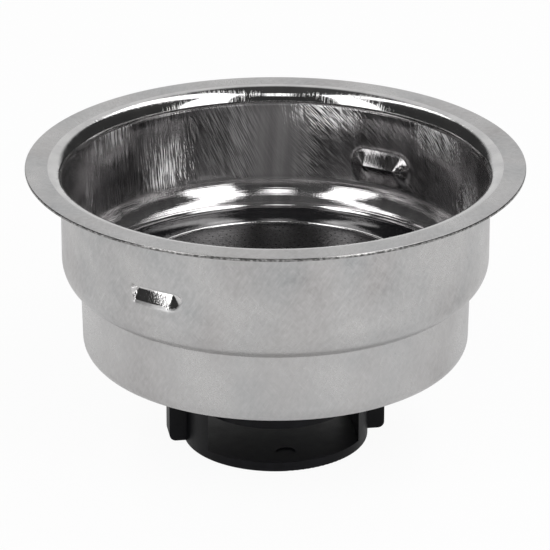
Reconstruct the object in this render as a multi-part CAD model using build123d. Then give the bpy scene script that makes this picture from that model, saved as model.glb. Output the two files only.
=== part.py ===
from build123d import *
import os
from math import acos, cos, degrees, radians, sin, tan

# Driving dimensions, in millimetres and degrees.
# The row stands on the jet cap's plate, with Z along the axis of the cup.

# Drawn steel cup
sheet = 0.4
rim_diameter = 60.0
bore_diameter = 50.8
rim_roll_radius = 1.9
upper_section_height = 11.49
shoulder_step = 2.23
shoulder_radius = 3.9
shoulder_bend_radius = 0.25
lower_section_height = 8.79
lower_draft = 1.2
floor_corner_radius = 2.15

# Two dents pressed into the upper wall, opposite each other
dent_azimuth = 58.0
dent_drop = 8.75
dent_width = 6.4
dent_height = 3.1
dent_depth = 1.3
dent_upper_angle = 23.0
dent_lower_angle = 50.0
dent_end_angle = 35.0
dent_corner_radius = 0.3

# Moulded carrier that fills the lower section and holds the filter disc
carrier_gap = 0.1
carrier_height = 8.5
carrier_wall = 2.2
carrier_web = 1.6
seat_depth = 0.5
seat_ledge = 1.6
dish_depth = 1.2
rib_count = 8
rib_width = 1.2

# Perforated filter disc with an upturned edge
disc_diameter = 36.6
disc_gap = 0.1
disc_sheet = 0.4
disc_edge_height = 0.75
disc_bend_radius = 0.55
hole_diameter = 0.7
hole_pitch = 3.0
hole_rings = 5

# Moulded jet cap under the floor
cap_drop = 11.68
cap_diameter = 22.66
cap_turn = 8.7
cap_edge_radius = 0.25
hub_diameter = 19.4
window_width = 18.5
window_top_flange = 2.2
plate_thickness = 1.25
plate_gap = 3.73
lug_reach = 2.0
lug_width = 3.0
lug_rise = 0.45
lug_corner_radius = 0.8
mould_mark_diameter = 2.4
mould_mark_radius = 8.3
mould_mark_depth = 0.08

# Bayonet spigot of the cap and the gasket around it
spigot_diameter = 13.0
spigot_wall = 1.4
spigot_clearance = 0.1
jet_diameter = 1.0
jet_floor = 1.6
tab_reach = 0.9
tab_angle = 44.0
tab_height = 0.9
notch_clearance = 0.15
seal_width = 1.8
seal_height = 1.6
seal_gap = 0.1

# Radii and levels that follow from the sizes above
rim_radius = rim_diameter / 2
upper_radius = bore_diameter / 2 + sheet
lower_radius = upper_radius - shoulder_step
inner_corner_radius = floor_corner_radius - sheet
floor_top = cap_drop + sheet
bend_level = cap_drop + lower_section_height
shoulder_angle = degrees(acos(1 - shoulder_step / (shoulder_radius + shoulder_bend_radius)))
shoulder_rise = (shoulder_radius + shoulder_bend_radius) * sin(radians(shoulder_angle))
shoulder_level = bend_level + shoulder_rise
draft = radians(lower_draft)
rim_top = shoulder_level + upper_section_height
dent_level = rim_top - dent_drop
carrier_top = floor_top + carrier_height
seat_level = carrier_top - seat_depth
dish_level = seat_level - dish_depth
disc_radius = disc_diameter / 2
cap_radius = cap_diameter / 2
hub_radius = hub_diameter / 2
hub_level = plate_thickness + plate_gap
spigot_radius = spigot_diameter / 2
spigot_bore_radius = spigot_radius - spigot_wall
floor_hole_radius = spigot_radius + spigot_clearance
tab_radius = spigot_radius + tab_reach
tab_top = floor_top + tab_height

UP = (Align.CENTER, Align.CENTER, Align.MIN)
OUT_AND_UP = (Align.MIN, Align.MIN)


def drawn_from(trace, thickness):
    """A drawn sheet: the trace of its underside, thickened to its left and turned about Z."""
    with BuildSketch(Plane.XZ) as section:
        with BuildLine():
            trace()
            offset(amount=thickness, side=Side.LEFT)
        make_face()
    return revolve(section.sketch, axis=Axis.Z)


def ring(inner_radius, outer_radius, low, high, angle=360):
    """Ring between two radii and two levels, or a part of it centred on +X."""
    with BuildSketch(Plane.XZ) as section:
        with Locations((inner_radius, low)):
            Rectangle(outer_radius - inner_radius, high - low, align=OUT_AND_UP)
    return Rot(0, 0, -angle / 2) * revolve(section.sketch, axis=Axis.Z, revolution_arc=angle)


def lower_wall_radius(level, inset=0):
    """Radius of the lower wall's outside at a level, or of a cone inside it by an inset."""
    wall_top = bend_level + shoulder_bend_radius * sin(draft)
    wall_top_radius = lower_radius + shoulder_bend_radius * (1 - cos(draft))
    return wall_top_radius - (wall_top - level) * tan(draft) - inset / cos(draft)


def cup_trace():
    """Outside of the cup, from the hole in its floor to the edge of its rim."""
    under_roll_radius = rim_roll_radius - sheet
    roll_level = rim_top - rim_roll_radius
    corner_level = cap_drop + floor_corner_radius
    corner_centre = (lower_wall_radius(corner_level, floor_corner_radius), corner_level)
    bend_centre = (lower_radius + shoulder_bend_radius, bend_level)
    Line((floor_hole_radius, cap_drop), (corner_centre[0], cap_drop))
    corner = CenterArc(corner_centre, floor_corner_radius, -90, 90 - lower_draft)
    bend = CenterArc(bend_centre, shoulder_bend_radius, 180 - lower_draft, lower_draft - shoulder_angle)
    Line(corner @ 1, bend @ 0)
    shoulder_centre = (upper_radius - shoulder_radius, shoulder_level)
    CenterArc(shoulder_centre, shoulder_radius, -shoulder_angle, shoulder_angle)
    Line((upper_radius, shoulder_level), (upper_radius, roll_level))
    CenterArc((upper_radius + under_roll_radius, roll_level), under_roll_radius, 180, -90)
    Line((upper_radius + under_roll_radius, rim_top - sheet), (rim_radius, rim_top - sheet))


def dent_block(depth, grow):
    """Block that points at the axis from +X down to a depth, with a steep top and sloping sides."""
    upper, lower, end = (radians(a) for a in (dent_upper_angle, dent_lower_angle, dent_end_angle))
    faces = []
    for level in (-dent_depth, depth):
        top = dent_height / 2 + grow / cos(upper) - level * tan(upper)
        bottom = dent_height / 2 + grow / cos(lower) - level * tan(lower)
        width = dent_width + 2 * (grow / cos(end) - level * tan(end))
        centre = (upper_radius - level, 0, dent_level + (top - bottom) / 2)
        plane = Plane(origin=centre, x_dir=(0, 1, 0), z_dir=(1, 0, 0))
        faces.append(plane * RectangleRounded(width, top + bottom, dent_corner_radius))
    return loft(faces)


def make_basket_shell():
    shell = drawn_from(cup_trace, sheet)
    boss = dent_block(dent_depth + sheet, sheet) & Cylinder(upper_radius - sheet / 2, rim_top, align=UP)
    pocket = dent_block(dent_depth, 0)
    for azimuth in (dent_azimuth, dent_azimuth + 180):
        shell += Rot(0, 0, azimuth) * boss
        shell -= Rot(0, 0, azimuth) * pocket
    notch_radius = tab_radius + notch_clearance
    notch_angle = tab_angle + 2 * degrees(notch_clearance / tab_radius)
    for azimuth in (cap_turn, cap_turn + 180):
        shell -= Rot(0, 0, azimuth) * ring(0, notch_radius, cap_drop, floor_top, notch_angle)
    return shell


def make_disc_carrier():
    """Black ring with a seat and a ribbed dish for the disc, a skirt and an outlet on the spigot."""
    inset = sheet + carrier_gap
    foot_radius, top_radius = lower_wall_radius(floor_top, inset), lower_wall_radius(carrier_top, inset)
    skirt_inside = foot_radius - carrier_wall
    seat_radius = disc_radius + disc_gap
    dish_radius = seat_radius - seat_ledge
    with BuildSketch(Plane.XZ) as section:
        with BuildLine():
            foot, top = (foot_radius, floor_top), (top_radius, carrier_top)
            Polyline((0, floor_top), foot, top, (0, carrier_top), close=True)
        make_face()
        fillet(section.vertices().group_by(Axis.Y)[0].sort_by(Axis.X)[-1], inner_corner_radius)
    carrier = revolve(section.sketch, axis=Axis.Z)
    carrier -= ring(0, seat_radius, seat_level, carrier_top)
    carrier -= ring(0, dish_radius, dish_level, seat_level)
    web_level = dish_level - carrier_web
    rim_web_level = seat_level - carrier_web
    carrier -= ring(0, skirt_inside, floor_top, web_level)
    carrier -= ring(dish_radius + carrier_web, skirt_inside, web_level, rim_web_level)
    carrier += ring(0, tab_radius, tab_top, web_level)
    rib = Box(dish_radius, rib_width, dish_depth, align=(Align.MIN, Align.CENTER, Align.MIN))
    for place in PolarLocations(0, rib_count):
        carrier += Pos(0, 0, dish_level) * place * rib
    return carrier - ring(0, spigot_bore_radius, tab_top, seat_level)


def disc_trace():
    """Underside of the filter disc, from its axis to the top of its upturned edge."""
    bend_start = disc_radius - disc_bend_radius
    Line((0, seat_level), (bend_start, seat_level))
    CenterArc((bend_start, seat_level + disc_bend_radius), disc_bend_radius, -90, 90)
    Line((disc_radius, seat_level + disc_bend_radius), (disc_radius, seat_level + disc_edge_height))


def make_filter_disc():
    disc = drawn_from(disc_trace, disc_sheet)
    hole = Circle(hole_diameter / 2)
    holes = Sketch() + hole
    for ring_number in range(1, hole_rings + 1):
        holes += [place * hole for place in PolarLocations(ring_number * hole_pitch, 6 * ring_number)]
    return disc - extrude(Pos(0, 0, seat_level) * holes, disc_sheet)


def make_lug():
    """Finger lug on +X, with its lower outer corner rounded."""
    root = (cap_radius + window_width / 2) / 2
    with BuildSketch(Plane.XZ) as side:
        with Locations((root, lug_rise)):
            Rectangle(cap_radius + lug_reach - root, cap_drop - lug_rise, align=OUT_AND_UP)
        fillet(side.vertices().group_by(Axis.Y)[0].sort_by(Axis.X)[-1], lug_corner_radius)
    return extrude(side.sketch, lug_width / 2, both=True)


def make_jet_cap():
    with BuildSketch(Plane.XZ) as section:
        Rectangle(cap_radius, cap_drop, align=OUT_AND_UP)
        fillet(section.vertices().group_by(Axis.X)[-1], cap_edge_radius)
    cap = revolve(section.sketch, axis=Axis.Z)
    window_height = cap_drop - window_top_flange - plate_thickness
    cap -= Pos(0, 0, plate_thickness) * Box(window_width, 4 * cap_radius, window_height, align=UP)
    cap += ring(0, hub_radius, hub_level, cap_drop)
    cap -= ring(spigot_radius, spigot_radius + seal_width + 2 * seal_gap, cap_drop - seal_height, cap_drop)
    cap += ring(0, spigot_radius, cap_drop, tab_top)
    mark = Cylinder(mould_mark_diameter / 2, 2 * mould_mark_depth)
    mark = Pos(mould_mark_radius, 0, plate_thickness) * mark
    tab = ring(spigot_bore_radius, tab_radius, floor_top, tab_top, tab_angle)
    for azimuth in (90, 270):
        cap -= Rot(0, 0, azimuth) * mark
        cap += Rot(0, 0, azimuth) * tab
    for azimuth in (0, 180):
        cap += Rot(0, 0, azimuth) * make_lug()
    cap -= ring(0, spigot_bore_radius, hub_level + jet_floor, tab_top)
    cap -= ring(0, jet_diameter / 2, hub_level, hub_level + jet_floor)
    return Rot(0, 0, cap_turn) * cap


def make_seal_ring():
    inside = spigot_radius + seal_gap
    return ring(inside, inside + seal_width, cap_drop - seal_height, cap_drop)


pieces = {
    "basket_shell": make_basket_shell(),
    "disc_carrier": make_disc_carrier(),
    "filter_disc": make_filter_disc(),
    "seal_ring": make_seal_ring(),
    "jet_cap": make_jet_cap(),
}

os.makedirs("parts", exist_ok=True)
for name, piece in pieces.items():
    export_step(piece, f"parts/{name}.step")
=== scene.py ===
import bmesh
import bpy
from math import acos, ceil, cos, degrees, exp, hypot, log, pi, radians, sin, tan
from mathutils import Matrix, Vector
from mathutils.geometry import delaunay_2d_cdt


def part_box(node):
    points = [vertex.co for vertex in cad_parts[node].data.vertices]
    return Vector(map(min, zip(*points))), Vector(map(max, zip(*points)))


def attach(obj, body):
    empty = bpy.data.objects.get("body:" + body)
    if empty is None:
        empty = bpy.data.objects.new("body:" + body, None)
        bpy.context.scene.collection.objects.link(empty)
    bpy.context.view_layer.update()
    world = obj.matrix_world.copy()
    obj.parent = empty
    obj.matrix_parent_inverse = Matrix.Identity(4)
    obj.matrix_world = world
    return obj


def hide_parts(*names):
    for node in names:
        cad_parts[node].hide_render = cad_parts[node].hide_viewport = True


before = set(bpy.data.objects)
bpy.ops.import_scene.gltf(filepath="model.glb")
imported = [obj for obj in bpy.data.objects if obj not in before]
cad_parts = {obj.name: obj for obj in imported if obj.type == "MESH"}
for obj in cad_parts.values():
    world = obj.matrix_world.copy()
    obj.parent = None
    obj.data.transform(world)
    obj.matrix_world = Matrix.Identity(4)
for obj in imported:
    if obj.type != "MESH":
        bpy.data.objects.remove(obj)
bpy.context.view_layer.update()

MM = 0.001

# Sizes of the cup, in millimetres, as in the CAD model
sheet = 0.4
bore_radius = 25.4
rim_roll_radius = 1.9
shoulder_step = 2.23
shoulder_radius = 3.9
shoulder_bend_radius = 0.25
lower_section_height = 8.79
lower_draft = 1.2
floor_corner_radius = 2.15
floor_hole_radius = 6.6
floor_notch_radius = 7.55
floor_notch_half_angle = 23.2
rim_edge_radius = 0.14
# Azimuth of the cap and of the floor's two notches
cap_turn = 8.7

# Each dent: azimuth, upper and lower edge below the rim, half its width, its depth
# and how much deeper it gets for each millimetre round the cup
dents = (
    (58.0, 7.85, 10.7, 3.5, 1.35, 0.0),
    (237.6, 7.4, 9.65, 3.6, 1.0, 0.055),
)
# The dents' outside (False) and inside (True): reach of their upper side, lower side and two ends,
# growth of their outline, slant of their ends and softness of their bends
dent_form = {
    False: (0.4, 1.85, 0.1, 1.8, 0.0, 0.14, 0.06),
    True: (1.65, 2.7, 1.9, 1.9, 0.7, 0.0, 0.15),
}
# From this far below the rim, the wall's mesh is fine enough for the dents
dents_start = 5.4
# Where the outside is pushed in further than this, it has the pressed steel
pressed_from = 0.12

# Fine ridge inside, just below the roll: levels from the roll's foot and how far it stands in
ridge = ((-0.36, 0), (-0.22, 0.04), (-0.17, 0.04), (-0.05, 0))

# Steps of the cup's mesh: on the floor, the wall with the dents, the plain wall and the rim, and round the roll
floor_step = 4.0
dents_step = 0.17
wall_step = 0.8
rim_step = 1.2
roll_steps = 18
# The roll's bright steel starts and ends this many rows before the roll does
roll_blend_rows = 2
# Upper rows of the rim's edge that are satin like the rim
edge_satin_rows = 3
# Slots of the cup's materials, in their order
satin_slot, drawn_slot, pressed_slot, rolled_slot, dark_edge_slot = range(5)

# Sizes of the filter disc, in millimetres
disc_radius = 18.3
disc_sheet = 0.4
disc_bend_radius = 0.55
disc_hole_diameter = 0.24
disc_hole_pitch = 0.92
disc_hole_rings = 18
disc_hole_sides = 8
disc_sides = 240

# Camera in metres, as fitted to the photo's outline
camera_lens = 259.67
camera_place = (0.0, -0.443014, 0.207931)
camera_aim = (-0.00006, 0, 0.02103)

# Each lamp: its place, the point it faces and its width and length, in metres, and its power in watts
lamps = {
    "strip_left": ((-0.441, -0.407, 0.5), (0, 0, 0.5), (0.26, 0.99), 2.6),
    "strip_right": ((0.386, -0.46, 0.5), (0, 0, 0.5), (0.3, 0.99), 3.0),
    "overhead_left": ((-0.43, 0.15, 0.935), (-0.43, 0.15, 0), (0.16, 1.4), 2.3),
    "overhead_right": ((0.385, 0.12, 0.935), (0.385, 0.12, 0), (0.27, 1.36), 3.8),
    "lamp_centre": ((-0.02, -0.59, 0.714), (0, 0, 0.034), (0.187, 0.35), 0.47),
}

shell_low, shell_high = (Vector(corner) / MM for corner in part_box("basket_shell"))
disc_low, disc_high = (Vector(corner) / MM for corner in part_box("filter_disc"))
rim_radius = shell_high.x
rim_top = shell_high.z
cap_drop = shell_low.z
upper_radius = bore_radius + sheet
lower_radius = upper_radius - shoulder_step
bend_level = cap_drop + lower_section_height
shoulder_angle = degrees(acos(1 - shoulder_step / (shoulder_radius + shoulder_bend_radius)))
shoulder_level = bend_level + (shoulder_radius + shoulder_bend_radius) * sin(radians(shoulder_angle))
roll_level = rim_top - rim_roll_radius
draft = radians(lower_draft)


def arc(centre, radius, start, sweep, steps):
    """Points on an arc, from a start angle through a sweep, in degrees."""
    turns = [radians(start + sweep * i / steps) for i in range(steps + 1)]
    return [(centre[0] + radius * cos(turn), centre[1] + radius * sin(turn)) for turn in turns]


def run(start, end, step):
    """Points between two ends of a straight run, at most a step apart and without the ends."""
    count = max(1, ceil(hypot(end[0] - start[0], end[1] - start[1]) / step))
    shares = [i / count for i in range(1, count)]
    return [(start[0] + (end[0] - start[0]) * s, start[1] + (end[1] - start[1]) * s) for s in shares]


def joined(*stretches, step):
    """One line through stretches of points, with straight runs between them."""
    line = list(stretches[0])
    for stretch in stretches[1:]:
        line += run(line[-1], stretch[0], step)
        line += stretch
    return line


def cup_side(inward):
    """One side of the cup's sheet, a distance inward from its outside, from the floor's hole to the rim's edge."""
    bend = (lower_radius + shoulder_bend_radius, bend_level)
    wall_rise = bend_level + shoulder_bend_radius * sin(draft) - cap_drop - floor_corner_radius
    wall_foot = bend[0] - shoulder_bend_radius * cos(draft) - wall_rise * tan(draft)
    corner = (wall_foot - floor_corner_radius / cos(draft), cap_drop + floor_corner_radius)
    shoulder = (upper_radius - shoulder_radius, shoulder_level)
    roll_radius = rim_roll_radius - sheet
    roll = (upper_radius + roll_radius, roll_level)
    wall = upper_radius - inward
    dents_high = rim_top - dents_start
    ridge_points = [(wall - rise, roll_level + level) for level, rise in ridge] if inward else []
    return (
        joined(
            [(floor_hole_radius, cap_drop + inward), (floor_notch_radius + 0.4, cap_drop + inward)],
            arc(corner, floor_corner_radius - inward, -90, 90 - lower_draft, 12),
            arc(bend, shoulder_bend_radius + inward, 180 - lower_draft, lower_draft - shoulder_angle, 8),
            arc(shoulder, shoulder_radius - inward, -shoulder_angle, shoulder_angle, 18),
            step=floor_step,
        )
        + joined([(wall, shoulder_level)], [(wall, dents_high)], step=dents_step)[1:]
        + run((wall, dents_high), (wall, roll_level - 0.5), wall_step)
        + ridge_points
        + joined(
            arc(roll, roll_radius + inward, 180, -90, roll_steps),
            [(rim_radius - rim_edge_radius, rim_top - sheet + inward)],
            step=rim_step,
        )
    )


def soft_floor(value, softness):
    """Value where it is above zero and zero below, with a rounded bend between."""
    return softness * log(1 + exp(value / softness)) if value < 20 * softness else value


def dent(angle, level, inside):
    """How far the wall is pushed in at an angle and level, on its outside or inside."""
    deepest = 0.0
    upper_reach, lower_reach, *end_reach, growth, slant, softness = dent_form[inside]
    for azimuth, top, bottom, half_width, depth, skew in dents:
        turn = radians(angle - azimuth)
        if cos(turn) < 0.9:
            continue
        drop = rim_top - level
        along = upper_radius * sin(turn)
        above = 1 - (drop - top + growth) / upper_reach
        below = 1 - (bottom + growth - drop) / lower_reach
        beside = 1 - (half_width + growth - slant * max(drop - top, 0) - abs(along)) / end_reach[along > 0]
        share = 1 - hypot(max(above, below, 0), max(beside, 0))
        share = soft_floor(share, softness)
        share = 1 - soft_floor(1 - share, softness)
        deepest = max(deepest, share * (depth + skew * along))
    return deepest


def dense_angles(step, fine_step, reach):
    """Angles round the cup in degrees, closer together at the dents and the floor's notches."""
    angles = [i * step for i in range(round(360 / step))]
    for azimuth, *others in dents:
        angles = [a for a in angles if abs((a - azimuth + 180) % 360 - 180) > reach]
        angles += [azimuth - reach + fine_step * i for i in range(round(2 * reach / fine_step) + 1)]
    for azimuth in (cap_turn, cap_turn + 180):
        for side in (-1, 1):
            edge = azimuth + side * floor_notch_half_angle
            angles += [edge % 360, (edge - side * 0.02) % 360]
    return sorted(set(round(a, 3) for a in angles))


def lathe(name, section, angles, place=None, closed=True):
    """Mesh turned from a section about Z, in metres, with UV in metres round and along the section."""
    rows = len(section)
    lengths = [0.0]
    for a, b in zip(section, section[1:] + section[:1]):
        lengths.append(lengths[-1] + hypot(b[0] - a[0], b[1] - a[1]))
    outer_radius = max(r for r, z in section)
    verts = []
    for angle in angles:
        for row, (r, z) in enumerate(section):
            r, z = place(row, r, z, angle) if place else (r, z)
            verts.append((r * cos(radians(angle)) * MM, r * sin(radians(angle)) * MM, z * MM))
    faces = []
    marks = []
    for column in range(len(angles)):
        after = (column + 1) % len(angles)
        end_angle = angles[after] + (360 if after == 0 else 0)
        for row in range(rows if closed else rows - 1):
            above = (row + 1) % rows
            faces.append((column * rows + row, after * rows + row, after * rows + above, column * rows + above))
            corners = ((angles[column], row), (end_angle, row), (end_angle, row + 1), (angles[column], row + 1))
            for turn, length in corners:
                marks.append((radians(turn) * outer_radius * MM, lengths[length] * MM))
    mesh = bpy.data.meshes.new(name)
    mesh.from_pydata(verts, [], faces)
    uv = mesh.uv_layers.new(name="turned")
    for item, mark in zip(uv.data, marks):
        item.uv = mark
    return mesh


def shown(name, mesh, slot, *nodes):
    """A piece of the object that stands for CAD nodes and moves with the whole."""
    piece = bpy.data.objects.new(name, mesh)
    bpy.context.scene.collection.objects.link(piece)
    mesh.shade_smooth()
    mesh.set_sharp_from_angle(angle=radians(38))
    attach(piece, "root")
    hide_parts(*nodes)
    return piece


def make_cup():
    """The drawn cup, with its dents and the floor's notches."""
    outside = cup_side(0)
    inside = cup_side(sheet)
    edge = (rim_radius - rim_edge_radius, rim_top - sheet + rim_edge_radius)
    upper_edge = (edge[0], rim_top - rim_edge_radius)
    lip = arc(edge, rim_edge_radius, -90, 90, 4) + arc(upper_edge, rim_edge_radius, 0, 90, 4)
    section = outside[:-1] + lip + inside[::-1][1:]
    outside_rows = len(outside) - 1 + len(lip)

    def place(row, r, z, angle):
        if r < floor_notch_radius:
            for azimuth in (cap_turn, cap_turn + 180):
                if abs((angle - azimuth + 180) % 360 - 180) < floor_notch_half_angle - 0.01:
                    r = floor_notch_radius
        if shoulder_level < z < roll_level:
            r -= dent(angle, z, row >= outside_rows)
        return r, z

    angles = dense_angles(step=1.2, fine_step=0.3, reach=12.0)
    mesh = lathe("cup_skin", section, angles, place)
    cup = shown("cup_skin", mesh, "shell_steel", "basket_shell")
    rim_rows = len([p for p in inside if p[0] > upper_radius + rim_roll_radius - sheet - 0.01])
    roll_start = outside_rows + rim_rows
    rows = len(section)
    for number, face in enumerate(mesh.polygons):
        column, row = divmod(number, rows)
        level = section[row][1]
        if row >= roll_start + roll_steps - roll_blend_rows:
            face.material_index = drawn_slot
        elif row >= roll_start - roll_blend_rows:
            face.material_index = rolled_slot
        elif len(outside) <= row < outside_rows - edge_satin_rows:
            face.material_index = dark_edge_slot
        elif shoulder_level < level < roll_level and dent(angles[column], level, False) > pressed_from:
            face.material_index = pressed_slot
        else:
            face.material_index = satin_slot
    return cup


def make_disc():
    """The filter disc: a bent edge round a plate with rings of fine holes."""
    top = disc_low.z + disc_sheet
    bend_start = disc_radius - disc_bend_radius
    angles = [360 * i / disc_sides for i in range(disc_sides)]
    bend = (bend_start, disc_low.z + disc_bend_radius)
    lip = (disc_radius - disc_sheet / 2, disc_high.z - disc_sheet / 2)
    section = (
        arc(bend, disc_bend_radius, -90, 90, 6)
        + arc(lip, disc_sheet / 2, 0, 180, 6)
        + arc(bend, disc_bend_radius - disc_sheet, 0, -90, 4)
    )
    edge = lathe("disc_edge", section, angles, closed=False)

    hole = (disc_hole_diameter / 2, disc_hole_sides)
    circles = [(0, 0, bend_start, disc_sides), (0, 0, *hole)]
    for number in range(1, disc_hole_rings + 1):
        for i in range(6 * number):
            turn = 2 * pi * i / (6 * number)
            reach = number * disc_hole_pitch
            circles.append((reach * cos(turn), reach * sin(turn), *hole))
    points, owners, loops = [], [], []
    for owner, (x, y, radius, count) in enumerate(circles):
        first = len(points)
        for i in range(count):
            turn = 2 * pi * i / count
            points.append(Vector((x + radius * cos(turn), y + radius * sin(turn))))
            owners.append(owner)
        loops.append([(first + i, first + (i + 1) % count) for i in range(count)])
    edges = [pair for loop in loops for pair in loop]
    spots, lines, triangles, sources, *others = delaunay_2d_cdt(points, edges, [], 1, 1e-6)
    owner_of = [owners[source[0]] for source in sources]
    solid = [t for t in triangles if len({owner_of[v] for v in t}) > 1 or owner_of[t[0]] == 0]
    layers = len(spots)
    verts = [(p.x * MM, p.y * MM, z * MM) for z in (top, disc_low.z) for p in spots]
    faces = [tuple(t) for t in solid] + [tuple(v + layers for v in reversed(t)) for t in solid]
    faces += [(a, b, b + layers, a + layers) for a, b in lines if owner_of[a] == owner_of[b] != 0]
    plate = bpy.data.meshes.new("disc_plate")
    plate.from_pydata(verts, [], faces)

    mesh = bpy.data.meshes.new("disc_screen")
    build = bmesh.new()
    build.from_mesh(plate)
    build.from_mesh(edge)
    bmesh.ops.remove_doubles(build, verts=build.verts, dist=2e-6)
    bmesh.ops.recalc_face_normals(build, faces=build.faces)
    edge_level = (top + disc_bend_radius / 4) * MM
    for face in build.faces:
        face.material_index = 1 if face.calc_center_median().z > edge_level else 0
    build.to_mesh(mesh)
    build.free()
    return shown("disc_screen", mesh, "disc_steel", "filter_disc")


class Nodes:
    """Builds the node tree of one material, a few nodes at a time."""

    def __init__(self, name):
        self.material = bpy.data.materials.new(name)
        self.material.use_nodes = True
        self.tree = self.material.node_tree
        self.shader = self.tree.nodes["Principled BSDF"]

    def node(self, kind, **settings):
        node = self.tree.nodes.new(kind)
        for name, value in settings.items():
            setattr(node, name, value)
        return node

    def link(self, source, target):
        self.tree.links.new(source, target)

    def coordinates(self, output, scale, turn=0.0):
        """Texture coordinates of one kind, turned about their third axis and scaled."""
        source = self.node("ShaderNodeTexCoord")
        turned = self.node("ShaderNodeMapping")
        turned.inputs["Rotation"].default_value = (0, 0, radians(turn))
        scaled = self.node("ShaderNodeMapping")
        scaled.inputs["Scale"].default_value = scale
        self.link(source.outputs[output], turned.inputs["Vector"])
        self.link(turned.outputs["Vector"], scaled.inputs["Vector"])
        return scaled.outputs["Vector"]

    def noise(self, vector, detail=2.0, rough=0.5):
        noise = self.node("ShaderNodeTexNoise")
        noise.inputs["Scale"].default_value = 1.0
        noise.inputs["Detail"].default_value = detail
        noise.inputs["Roughness"].default_value = rough
        self.link(vector, noise.inputs["Vector"])
        return noise.outputs["Fac"]

    def ramp(self, value, low, high, start, end):
        """Value from low to high, mapped to start to end."""
        node = self.node("ShaderNodeMapRange")
        for name, number in (("From Min", low), ("From Max", high), ("To Min", start), ("To Max", end)):
            node.inputs[name].default_value = number
        self.link(value, node.inputs["Value"])
        return node.outputs["Result"]

    def stops(self, turn, levels):
        """Grey levels at stops in degrees, from a share of a full turn."""
        node = self.node("ShaderNodeValToRGB")
        self.link(turn, node.inputs["Fac"])
        places = node.color_ramp.elements
        for number, (degree, level) in enumerate(levels):
            stop = places[0] if number == 0 else places[-1] if degree == 360 else places.new(degree / 360)
            stop.color = (level, level, level, 1)
        return node.outputs["Color"]

    def maths(self, operation, a, b):
        node = self.node("ShaderNodeMath", operation=operation)
        for socket, value in zip(node.inputs, (a, b)):
            if isinstance(value, (int, float)):
                socket.default_value = value
            else:
                self.link(value, socket)
        return node.outputs["Value"]

    def mix(self, factor, first, second):
        node = self.node("ShaderNodeMix", data_type="RGBA")
        self.link(factor, node.inputs["Factor"])
        for name, value in (("A", first), ("B", second)):
            socket = [s for s in node.inputs if s.name == name and s.type == "RGBA"][0]
            if isinstance(value, tuple):
                socket.default_value = (*value, 1)
            else:
                self.link(value, socket)
        return [s for s in node.outputs if s.type == "RGBA"][0]

    def bump(self, height, strength, distance):
        node = self.node("ShaderNodeBump")
        node.inputs["Strength"].default_value = strength
        node.inputs["Distance"].default_value = distance
        self.link(height, node.inputs["Height"])
        self.link(node.outputs["Normal"], self.shader.inputs["Normal"])
        return node

    def paint(self, **sockets):
        """Sets or links the shader's own sockets."""
        for name, value in sockets.items():
            socket = self.shader.inputs[name.replace("_", " ")]
            if isinstance(value, (int, float)):
                socket.default_value = value
            elif isinstance(value, tuple):
                socket.default_value = (*value, 1)
            else:
                self.link(value, socket)


def satin_steel():
    """Outside and rim: satin sheet with soft blotches and fine rubbed scratches."""
    n = Nodes("steel_satin")
    grain = n.noise(n.coordinates("Object", (6000, 6000, 6000)), 2.0)
    blotch = n.noise(n.coordinates("UV", (85, 100, 1), 25), 3.0)
    mottle = n.noise(n.coordinates("UV", (1700, 1100, 1), 32), 3.0, 0.6)
    tint = n.noise(n.coordinates("UV", (110, 45, 1), 20), 1.0)
    rub = n.noise(n.coordinates("UV", (7500, 420, 1), 38), 2.0)
    cross = n.noise(n.coordinates("UV", (6800, 380, 1), -48), 2.0)
    scratch = n.maths("MAXIMUM", n.ramp(rub, 0.54, 0.76, 0, 1), n.ramp(cross, 0.56, 0.78, 0, 1))
    tone = n.mix(n.ramp(tint, 0.38, 0.62, 0, 1), (0.365, 0.352, 0.35), (0.352, 0.357, 0.362))
    colour = n.mix(n.ramp(blotch, 0.33, 0.67, 0, 1), tone, (0.485, 0.477, 0.473))
    colour = n.mix(n.ramp(mottle, 0.35, 0.75, 0, 0.45), colour, (0.58, 0.575, 0.575))
    colour = n.mix(n.maths("MULTIPLY", scratch, 0.22), colour, (0.78, 0.78, 0.78))
    split = n.node("ShaderNodeSeparateXYZ")
    n.link(n.coordinates("Object", (1, 1, 1)), split.inputs["Vector"])
    # Painted light: lighter towards the bottom of the outside, making up for the shadowed floor that the lower wall
    # reflects
    colour = n.mix(n.ramp(split.outputs["Z"], 0.0205, 0.0235, 0.3, 0), colour, (0.52, 0.515, 0.515))
    rough = n.maths("ADD", n.ramp(blotch, 0.3, 0.7, 0.36, 0.27), n.ramp(grain, 0.3, 0.7, -0.04, 0.04))
    height = n.maths("ADD", n.maths("MULTIPLY", grain, 0.5), n.maths("MULTIPLY", scratch, -0.6))
    n.paint(Base_Color=colour, Metallic=1.0, Roughness=rough)
    n.bump(height, 0.16, 0.00006)
    return n.material


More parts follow.
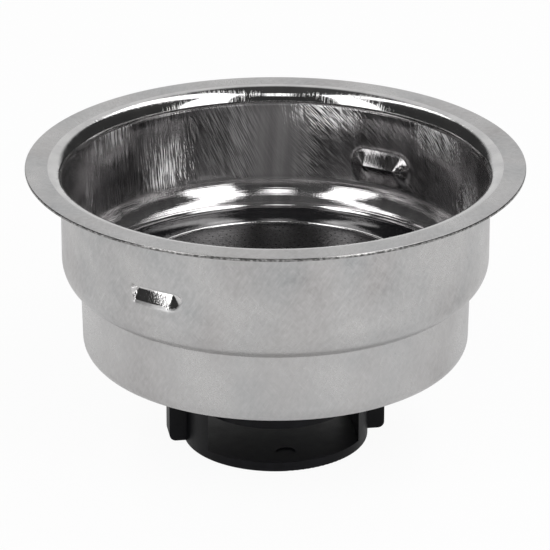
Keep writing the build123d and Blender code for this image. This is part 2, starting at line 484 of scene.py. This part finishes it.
def drawn_steel():
    """Inside: drawn sheet, with drawing lines up the wall, scratch lines painted as near-white highlights in
    patches there, a darker painted shade on the wall, and turned lines on the bright shoulder.
    """
    n = Nodes("steel_drawn")
    split = n.node("ShaderNodeSeparateXYZ")
    n.link(n.coordinates("Object", (1, 1, 1)), split.inputs["Vector"])
    wall = n.ramp(split.outputs["Z"], 0.0232, 0.0246, 0, 1)
    high = n.ramp(split.outputs["Z"], 0.029, 0.0322, 0.03, 1)
    low = n.ramp(split.outputs["Z"], 0.026, 0.0315, 1, 0.25)
    round_split = n.node("ShaderNodeSeparateXYZ")
    n.link(n.coordinates("UV", (1 / (2 * pi * rim_radius * MM), 1, 1)), round_split.inputs["Vector"])
    turn = round_split.outputs["X"]
    wander = n.noise(n.coordinates("UV", (5200, 170, 1), -8), 3.0, 0.6)
    place = n.maths("ADD", turn, n.ramp(wander, 0.25, 0.75, -0.017, 0.017))
    # Painted highlights: patches round the wall, high and low, where the scratch lines are coloured near white
    highlight_patches_high = n.stops(place, (
        (0, 0.05), (26, 0.05), (33, 1.0), (41, 1.0), (48, 0.1), (64, 0.15), (73, 1.0), (80, 1.0), (86, 0.0),
        (133, 0.0), (139, 0.65), (147, 0.65), (153, 0.0), (360, 0.05),
    ))
    highlight_patches_low = n.stops(place, (
        (0, 0.0), (12, 0.0), (17, 0.85), (23, 0.85), (28, 0.0), (114, 0.0), (119, 1.0), (125, 1.0), (131, 0.1),
        (152, 0.1), (156, 0.5), (161, 0.0), (360, 0.0),
    ))
    dull = n.stops(turn, ((0, 0.0), (78, 0.0), (85, 1.0), (95, 1.0), (104, 0.3), (112, 0.0), (360, 0.0)))
    highlight_patches = n.maths("MAXIMUM", n.maths("MULTIPLY", highlight_patches_high, high), n.maths("MULTIPLY", highlight_patches_low, low))
    # Scuffs up the wall at levels round it, also painted as faint highlights
    scuff_glint_level = n.stops(turn, (
        (0, 0.17), (50, 0.13), (68, 0.16), (80, 0.34), (86, 0.04), (94, 0.04), (99, 0.32), (115, 0.24), (130, 0.16),
        (360, 0.17),
    ))
    glint_line_amount = n.maths("MULTIPLY", n.maths("MAXIMUM", highlight_patches, scuff_glint_level), wall)
    lines = n.noise(n.coordinates("UV", (5200, 60, 1)), 3.0, 0.6)
    turned = n.noise(n.coordinates("UV", (60, 6400, 1)), 2.0)
    wide = n.noise(n.coordinates("UV", (700, 30, 1), 3), 2.0)
    left = n.ramp(split.outputs["X"], -0.0135, -0.0085, 1, 0)
    right = n.ramp(split.outputs["X"], -0.001, 0.004, 0, 1)
    middle = n.maths("SUBTRACT", n.maths("SUBTRACT", 1.0, left), right)
    upright = n.noise(n.coordinates("UV", (8200, 240, 1), -5), 2.0)
    steep = n.noise(n.coordinates("UV", (8000, 240, 1), -28), 2.0)
    shallow = n.noise(n.coordinates("UV", (7600, 400, 1), -50), 2.0)
    rub = n.maths("MULTIPLY", upright, left)
    rub = n.maths("ADD", rub, n.maths("MULTIPLY", steep, middle))
    rub = n.maths("ADD", rub, n.maths("MULTIPLY", shallow, right))
    marks = n.maths("MULTIPLY", glint_line_amount, n.ramp(rub, 0.47, 0.57, 0.04, 1))
    # Painted shade: the wall above the shoulder has a darker copy of the same steel colour
    sheen = n.mix(n.ramp(wide, 0.35, 0.65, 0, 1), (0.53, 0.515, 0.52), (0.64, 0.63, 0.63))
    wall_painted_shade = n.mix(n.ramp(wide, 0.35, 0.65, 0, 1), (0.25, 0.242, 0.244), (0.34, 0.33, 0.332))
    # Painted highlight: scratch lines in the patches and scuffs are near white and partly matt
    colour = n.mix(marks, n.mix(wall, sheen, wall_painted_shade), (0.92, 0.91, 0.91))
    rough = n.maths("ADD", n.ramp(wide, 0.3, 0.7, 0.07, 0.12), n.maths("MULTIPLY", marks, 0.38))
    height = n.maths("MULTIPLY", n.maths("ADD", lines, wide), n.ramp(wall, 0, 1, 0.12, 0.5))
    height = n.maths("ADD", height, n.maths("MULTIPLY", turned, n.ramp(wall, 0, 1, 0.85, 0.0)))
    height = n.maths("ADD", height, n.maths("MULTIPLY", n.maths("MULTIPLY", rub, glint_line_amount), 4.0))
    haze = n.maths("MULTIPLY", n.maths("MULTIPLY", dull, wall), 0.55)
    haze = n.maths("ADD", haze, n.maths("MULTIPLY", marks, 0.75))
    metal = n.maths("SUBTRACT", n.ramp(wall, 0, 1, 0.95, 1.0), haze)
    n.paint(Base_Color=colour, Metallic=metal, Roughness=rough)
    # The highlight patches also lean the surface up, and on the left to the front too, so that they catch the lamps
    lean = n.node("ShaderNodeCombineXYZ")
    caught = n.maths("MULTIPLY", n.maths("MULTIPLY", highlight_patches, wall), n.ramp(rub, 0.42, 0.58, 0.16, 0.56))
    n.link(n.maths("MULTIPLY", caught, n.ramp(left, 0, 1, 0.0, -1.0)), lean.inputs["Y"])
    n.link(caught, lean.inputs["Z"])
    surface = n.node("ShaderNodeNewGeometry")
    leaned = n.node("ShaderNodeVectorMath", operation="ADD")
    n.link(surface.outputs["Normal"], leaned.inputs[0])
    n.link(lean.outputs["Vector"], leaned.inputs[1])
    bump = n.bump(height, 0.25, 0.0001)
    n.link(leaned.outputs["Vector"], bump.inputs["Normal"])
    return n.material


def rolled_steel():
    """Rolled lip and the disc's edge: mirror-bright sheet with a few short scratches across it."""
    n = Nodes("steel_rolled")
    scratch = n.ramp(n.noise(n.coordinates("UV", (6500, 300, 1)), 3.0, 0.6), 0.54, 0.72, 0, 1)
    cloud = n.noise(n.coordinates("UV", (300, 300, 1)), 2.0)
    colour = n.mix(n.ramp(cloud, 0.35, 0.65, 0, 1), (0.54, 0.535, 0.535), (0.62, 0.615, 0.61))
    n.paint(Base_Color=colour, Metallic=1.0, Roughness=n.ramp(cloud, 0.3, 0.7, 0.07, 0.11))
    n.bump(scratch, 0.1, 0.00006)
    return n.material


def dark_edge_steel():
    """Trimmed edge of the rim: sheared metal, duller than the sheet, its colour painted dark as shade for the dark
    line along the edge.
    """
    n = Nodes("steel_edge_painted_dark")
    nick = n.noise(n.coordinates("Object", (2600, 2600, 2600)), 2.0)
    # Painted shade: the edge's colour is dark, with lighter nicks
    colour = n.mix(n.ramp(nick, 0.4, 0.7, 0, 1), (0.1, 0.098, 0.096), (0.42, 0.415, 0.41))
    n.paint(Base_Color=colour, Metallic=1.0, Roughness=n.ramp(nick, 0.3, 0.7, 0.12, 0.24))
    n.bump(nick, 0.2, 0.00005)
    return n.material


def pressed_steel():
    """Dents, from outside: sheet burnished by the press tool."""
    n = Nodes("steel_pressed")
    grain = n.noise(n.coordinates("Object", (5000, 5000, 5000)), 2.0)
    streak = n.noise(n.coordinates("UV", (900, 2600, 1), 10), 2.0)
    colour = n.mix(n.ramp(streak, 0.35, 0.65, 0, 1), (0.54, 0.53, 0.53), (0.64, 0.635, 0.63))
    n.paint(Base_Color=colour, Metallic=1.0, Roughness=n.ramp(streak, 0.3, 0.7, 0.06, 0.12))
    n.bump(n.maths("ADD", grain, streak), 0.24, 0.00006)
    return n.material


def painted_dark_screen_steel():
    """Filter disc: dull satin sheet, its colour painted near black as shade deep in the cup."""
    n = Nodes("steel_screen_painted_dark")
    grain = n.noise(n.coordinates("Object", (3800, 3800, 3800)), 3.0)
    cloud = n.noise(n.coordinates("Object", (240, 240, 240)), 2.0)
    # Painted shade: near-black steel colour; the disc's bent edge keeps the bright rolled steel
    colour = n.mix(n.ramp(cloud, 0.35, 0.65, 0, 1), (0.045, 0.044, 0.046), (0.072, 0.07, 0.071))
    n.paint(Base_Color=colour, Metallic=1.0, Roughness=n.ramp(grain, 0.3, 0.7, 0.24, 0.36))
    n.bump(grain, 0.15, 0.00008)
    return n.material


def moulded_plastic(name, colour, worn, smooth, rough, shine, strength):
    """Black moulded plastic with a fine texture and faint handling marks."""
    n = Nodes(name)
    grain = n.noise(n.coordinates("Object", (4200, 4200, 4200)), 2.0)
    marks = n.noise(n.coordinates("Object", (620, 620, 260)), 3.0)
    tone = n.mix(n.ramp(marks, 0.42, 0.72, 0, 1), colour, worn)
    roughness = n.maths("ADD", n.ramp(marks, 0.3, 0.7, smooth, rough), n.ramp(grain, 0.3, 0.7, -0.02, 0.02))
    n.paint(Base_Color=tone, Roughness=roughness, Specular_IOR_Level=shine)
    n.bump(grain, strength, 0.00005)
    return n.material


def silicone():
    """Gasket: matt grey rubber."""
    n = Nodes("silicone_grey")
    grain = n.noise(n.coordinates("Object", (3000, 3000, 3000)), 3.0)
    tone = n.mix(n.ramp(grain, 0.35, 0.65, 0, 1), (0.50, 0.49, 0.47), (0.57, 0.56, 0.54))
    n.paint(Base_Color=tone, Roughness=n.ramp(grain, 0.3, 0.7, 0.6, 0.75))
    n.bump(grain, 0.1, 0.00005)
    return n.material


def dress(node, material):
    """A CAD node that is shown as it is, with its own material."""
    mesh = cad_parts[node].data
    mesh.materials.clear()
    mesh.materials.append(material)


def make_floor():
    """White floor just below the object: takes its shadow and looks evenly pale to the camera and in the steel."""
    size = 3.0
    drop = 0.05 * MM
    corners = [(x * size, y * size, -drop) for x, y in ((-1, -1), (1, -1), (1, 1), (-1, 1))]
    mesh = bpy.data.meshes.new("floor")
    mesh.from_pydata(corners, [], [(0, 1, 2, 3)])
    floor = bpy.data.objects.new("floor", mesh)
    bpy.context.scene.collection.objects.link(floor)
    n = Nodes("floor_white")
    n.paint(Base_Color=(0.9, 0.9, 0.9), Roughness=0.9, Specular_IOR_Level=0.0)
    glow = n.node("ShaderNodeEmission")
    glow.inputs["Color"].default_value = (1, 1, 1, 1)
    path = n.node("ShaderNodeLightPath")
    seen = n.maths("MULTIPLY", path.outputs["Is Camera Ray"], 0.94)
    seen = n.maths("MAXIMUM", seen, n.maths("MULTIPLY", path.outputs["Is Glossy Ray"], 0.5))
    both = n.node("ShaderNodeMixShader")
    n.link(seen, both.inputs["Fac"])
    n.link(n.shader.outputs["BSDF"], both.inputs[1])
    n.link(glow.outputs["Emission"], both.inputs[2])
    n.link(both.outputs["Shader"], n.tree.nodes["Material Output"].inputs["Surface"])
    mesh.materials.append(n.material)


def make_world():
    """A dark room, slightly lighter overhead, with a pale sweep behind the object."""
    world = bpy.data.worlds.new("studio")
    bpy.context.scene.world = world
    world.use_nodes = True
    tree = world.node_tree

    def node(kind, values, **settings):
        made = tree.nodes.new(kind)
        for name, value in settings.items():
            setattr(made, name, value)
        for socket, value in values.items():
            if isinstance(value, float):
                made.inputs[socket].default_value = value
            else:
                tree.links.new(value, made.inputs[socket])
        return made.outputs[0]

    def ramp(value, low, high, start, end):
        ends = {"From Min": low, "From Max": high, "To Min": start, "To Max": end}
        return node("ShaderNodeMapRange", {"Value": value, **ends}, interpolation_type="SMOOTHSTEP")

    def maths(operation, a, b):
        return node("ShaderNodeMath", {0: a, 1: b}, operation=operation)

    where = tree.nodes.new("ShaderNodeTexCoord").outputs["Generated"]
    split = tree.nodes.new("ShaderNodeSeparateXYZ")
    tree.links.new(where, split.inputs["Vector"])
    x, y, z = split.outputs
    behind = maths("SUBTRACT", maths("ADD", y, maths("MULTIPLY", z, 0.3)), maths("ABSOLUTE", x, 0.0))
    sweep = maths("MULTIPLY", ramp(behind, 0.36, 0.62, 0.0, 0.8), ramp(z, 0.7, 0.88, 1.0, 0.0))
    level = maths("ADD", sweep, ramp(z, 0.5, 0.95, 0.045, 0.07))
    tree.links.new(level, tree.nodes["Background"].inputs["Color"])


def softbox(name, place, aim, size, power):
    """Oblong area lamp at a place, facing a point."""
    lamp = bpy.data.lights.new(name, "AREA")
    lamp.shape = "RECTANGLE"
    lamp.size, lamp.size_y = size
    lamp.energy = power
    light = bpy.data.objects.new(name, lamp)
    light.location = place
    light.rotation_euler = (Vector(aim) - Vector(place)).to_track_quat("-Z", "Y").to_euler()
    bpy.context.scene.collection.objects.link(light)


def make_camera():
    """The camera, from the photo's side."""
    camera = bpy.data.cameras.new("camera")
    camera.sensor_width = 36.0
    camera.lens = camera_lens
    camera.clip_start = 0.01
    viewer = bpy.data.objects.new("camera", camera)
    viewer.location = camera_place
    viewer.rotation_euler = (Vector(camera_aim) - viewer.location).to_track_quat("-Z", "Y").to_euler()
    bpy.context.scene.collection.objects.link(viewer)
    bpy.context.scene.camera = viewer


cup = make_cup()
bright = rolled_steel()
for material in (satin_steel(), drawn_steel(), pressed_steel(), bright, dark_edge_steel()):
    cup.data.materials.append(material)
disc = make_disc()
for material in (painted_dark_screen_steel(), bright):
    disc.data.materials.append(material)
dress("disc_carrier", moulded_plastic(
    "plastic_gloss", colour=(0.005, 0.005, 0.006), worn=(0.009, 0.009, 0.010), smooth=0.03, rough=0.07, shine=0.4,
    strength=0.02,
))
dress("jet_cap", moulded_plastic(
    "plastic_black", colour=(0.002, 0.002, 0.003), worn=(0.005, 0.005, 0.007), smooth=0.36, rough=0.48, shine=0.15,
    strength=0.12,
))
dress("seal_ring", silicone())

make_floor()
make_world()
for name, (place, aim, size, power) in lamps.items():
    softbox(name, place, aim, size, power)
make_camera()
bpy.context.scene.view_settings.view_transform = "Standard"
